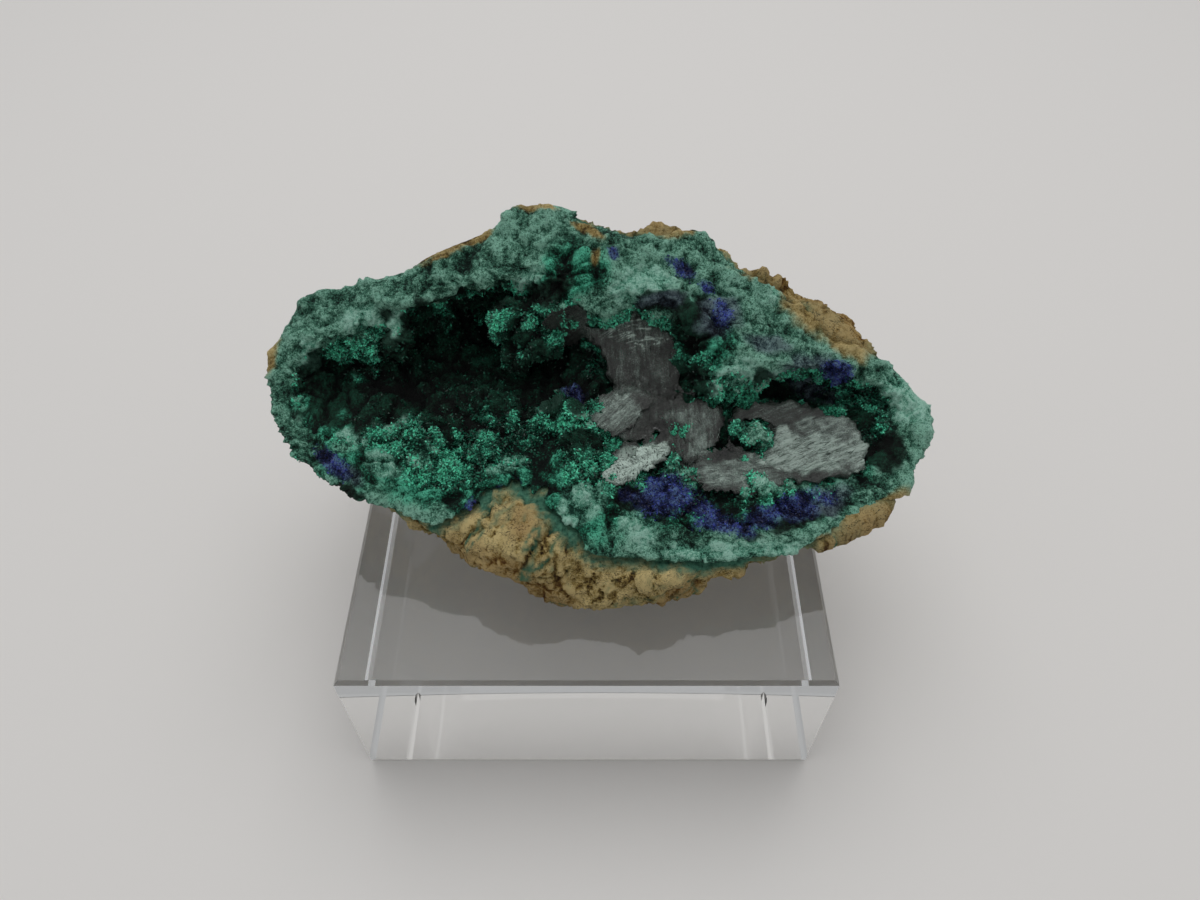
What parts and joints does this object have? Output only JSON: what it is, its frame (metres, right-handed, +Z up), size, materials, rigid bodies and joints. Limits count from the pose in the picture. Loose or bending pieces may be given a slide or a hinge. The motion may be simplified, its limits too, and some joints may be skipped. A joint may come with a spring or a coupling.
{
  "type": "brochantite mineral specimen",
  "caption": "Cavity lump of brown rock lined with a green crystal crust, with clear crystal masses inside, resting on a clear square display block.",
  "frame": {"origin": "centre of the display block's underside", "axes": "+Z up; +X along the specimen's length, to the right of the open face; the open face looks towards -Y and up"},
  "size_m": [0.0709, 0.05, 0.0471],
  "materials": {
    "acrylic": "clear, polished",
    "rock": "rough, earthy",
    "brochantite": "velvety, finely crystalline",
    "gypsum": "translucent, frosted"
  },
  "bodies": {
    "root": {"acrylic_block": "acrylic", "host_rock": "rock", "brochantite_crust": "brochantite", "gypsum_column": "gypsum", "gypsum_slab": "gypsum"}
  },
  "joints": []
}
